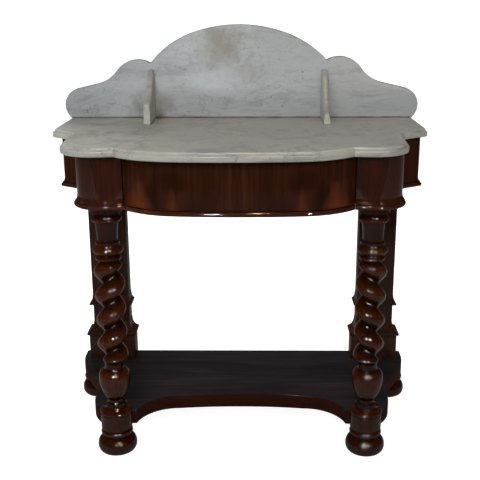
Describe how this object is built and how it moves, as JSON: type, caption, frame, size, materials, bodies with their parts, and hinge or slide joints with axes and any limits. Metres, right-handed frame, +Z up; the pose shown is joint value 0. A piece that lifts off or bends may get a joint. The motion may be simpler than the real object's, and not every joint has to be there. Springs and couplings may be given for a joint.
{
  "type": "washstand",
  "caption": "Bow-fronted washstand with a moulded marble top and shaped splashback, concealed frieze drawer, twisted front legs, rear pilasters and a platform shelf.",
  "frame": {"origin": "middle of the footprint on the floor: halfway between the flat back and the foremost edge of the marble, on the centre line", "axes": "+Z up, -Y the bowed front, +Y the back, +X to the right of someone who faces the front"},
  "size_m": [0.914, 0.514, 1.003],
  "materials": {
    "marble": null,
    "brass_dowels": "drawn rod",
    "steel_screws": "dull",
    "mahogany_veneer": "french polished, figured",
    "mahogany_moulding": "french polished",
    "mahogany_turned": "french polished, turned",
    "mahogany_pilaster": "polished, a little dull",
    "mahogany_shelf": "polished, dark",
    "drawer_lining": "planed, unpolished",
    "carcass_wood": "sawn and planed, unpolished"
  },
  "bodies": {
    "stand": {"marble_top": "marble", "marble_splashback": "marble", "marble_bracket_left": "marble", "marble_bracket_right": "marble", "marble_dowels": "brass_dowels", "turret_left": "mahogany_veneer", "turret_right": "mahogany_veneer", "end_block_left": "mahogany_veneer", "end_block_right": "mahogany_veneer", "side_rail_left": "mahogany_veneer", "side_rail_right": "mahogany_veneer", "back_rail": "carcass_wood", "front_top_rail": "carcass_wood", "front_bottom_rail": "carcass_wood", "centre_bearer": "carcass_wood", "glue_blocks": "carcass_wood", "turret_moulding_left": "mahogany_moulding", "turret_moulding_right": "mahogany_moulding", "end_moulding_left": "mahogany_moulding", "end_moulding_right": "mahogany_moulding", "drawer_runner_left": "carcass_wood", "drawer_runner_right": "carcass_wood", "drawer_guide_left": "carcass_wood", "drawer_guide_right": "carcass_wood", "drawer_kicker_left": "carcass_wood", "drawer_kicker_right": "carcass_wood", "drawer_stops": "carcass_wood", "twist_leg_left": "mahogany_turned", "twist_leg_right": "mahogany_turned", "front_foot_left": "mahogany_turned", "front_foot_right": "mahogany_turned", "pilaster_left": "mahogany_pilaster", "pilaster_right": "mahogany_pilaster", "cap_moulding_left": "mahogany_pilaster", "cap_moulding_right": "mahogany_pilaster", "base_moulding_left": "mahogany_pilaster", "base_moulding_right": "mahogany_pilaster", "plinth_left": "mahogany_pilaster", "plinth_right": "mahogany_pilaster", "platform_shelf": "mahogany_shelf", "shelf_dowels": "carcass_wood", "shelf_screws": "steel_screws", "back_foot_left": "mahogany_turned", "back_foot_right": "mahogany_turned"},
    "drawer": {"drawer_front": "mahogany_veneer", "drawer_front_moulding": "mahogany_moulding", "drawer_side_left": "drawer_lining", "drawer_side_right": "drawer_lining", "drawer_back": "drawer_lining", "drawer_bottom": "drawer_lining", "drawer_bottom_screws": "steel_screws"}
  },
  "joints": [
    {"name": "drawer_slide", "type": "slide", "parent": "stand", "child": "drawer", "axis": [0, -1, 0], "range_m": [0, 0.25]}
  ]
}
